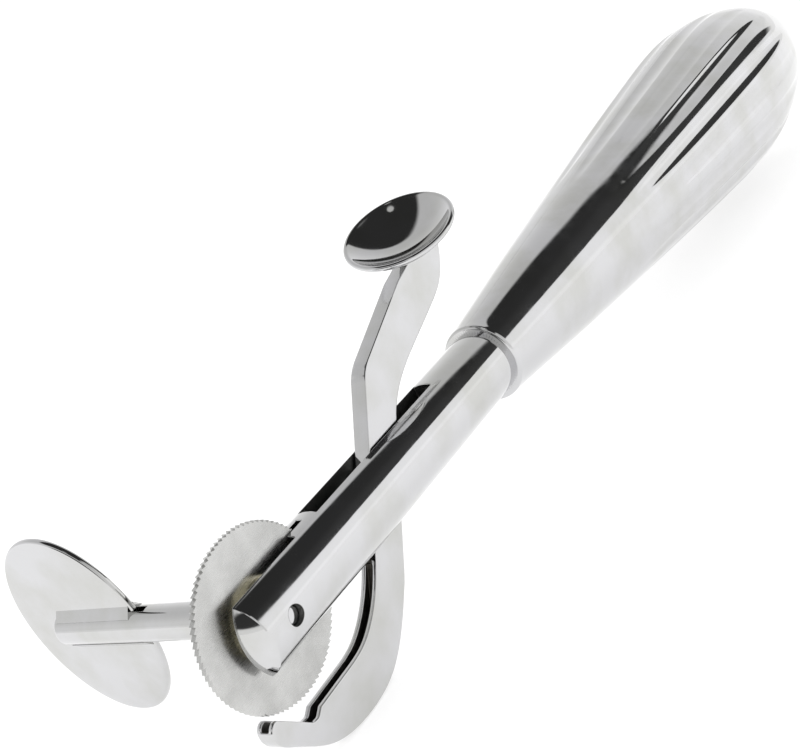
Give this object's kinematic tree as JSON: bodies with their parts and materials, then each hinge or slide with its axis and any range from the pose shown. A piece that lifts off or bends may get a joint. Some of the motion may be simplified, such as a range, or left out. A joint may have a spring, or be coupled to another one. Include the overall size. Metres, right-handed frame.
{
  "type": "finger ring cutter",
  "caption": "Finger ring cutter: a thumb key turns a small circular saw at a forked shank's end, and a pivoted guard lever with a thumb dish slides under the ring and holds it to the saw.",
  "frame": {"origin": "where the saw spindle's axis crosses the shank's axis", "axes": "+X along the shank towards the handle's tip, +Y along the spindle towards the thumb key, +Z towards the side that the thumb dish stands on"},
  "size_m": [0.1798, 0.0508, 0.0389],
  "materials": {
    "chrome_plate": "bright plated, polished, with fine handling scratches",
    "handle_plate": "bright plated over pressed sheet, slightly wavy",
    "saw_steel": "satin, fine grinding lines",
    "steel": "turned, unseen",
    "brass": "turned, lightly tarnished",
    "solder": "solder, plated over"
  },
  "bodies": {
    "frame": {"shank": "chrome_plate", "lever_pin": "chrome_plate", "handle_half_near": "handle_plate", "handle_half_far": "handle_plate", "tang_sleeve": "brass", "tang_pin": "steel"},
    "guard": {"guard_lever": "chrome_plate", "thumb_dish": "chrome_plate", "dish_solder": "solder"},
    "saw_and_key": {"saw_blade": "saw_steel", "blade_hub": "brass", "key_spindle": "chrome_plate", "key_plate": "chrome_plate", "key_solder": "solder"}
  },
  "joints": [
    {"name": "guard_pivot", "type": "hinge", "parent": "frame", "child": "guard", "pos_m": [0.021, 0, 0], "axis": [0, -1, 0], "range_deg": [-2, 90]},
    {"name": "saw_spin", "type": "hinge", "parent": "frame", "child": "saw_and_key", "pos_m": [0, 0, 0], "axis": [0, 1, 0], "continuous": true}
  ]
}
